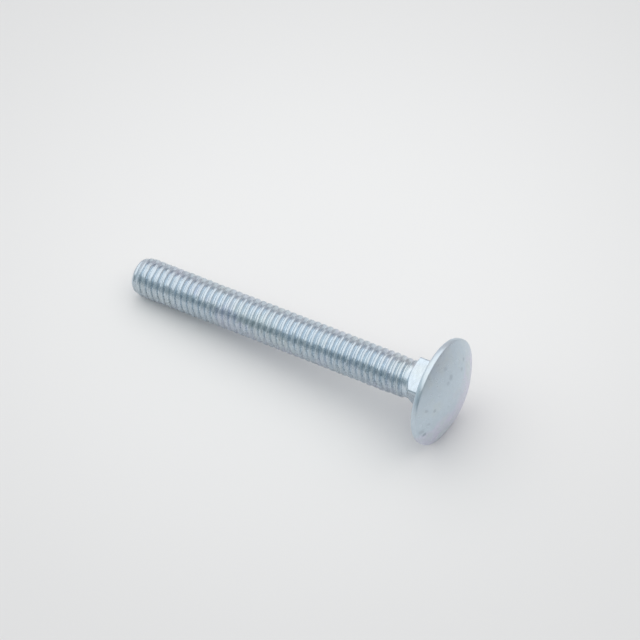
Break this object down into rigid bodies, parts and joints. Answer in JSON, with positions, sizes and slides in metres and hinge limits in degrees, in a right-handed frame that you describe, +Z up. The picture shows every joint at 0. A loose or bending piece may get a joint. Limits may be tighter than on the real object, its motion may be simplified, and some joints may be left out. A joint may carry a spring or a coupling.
{
  "type": "carriage bolt",
  "caption": "Carriage bolt with a shallow domed head, a square neck under it and a shank threaded almost to the neck, in bright zinc plate, lying on its side.",
  "frame": {"origin": "the middle of the bolt's outline on the floor that it lies on, at floor level", "axes": "+Z up; +X along the bolt towards its head, level with the floor, so the bolt's own axis rises by 5.81 degrees towards the head; +Y to the left of +X"},
  "size_m": [0.0524, 0.0156, 0.0156],
  "materials": {
    "zinc_plated_steel": "bright blue-white zinc plate, satin on the dome"
  },
  "bodies": {
    "root": {"carriage_bolt": "zinc_plated_steel"}
  },
  "joints": []
}
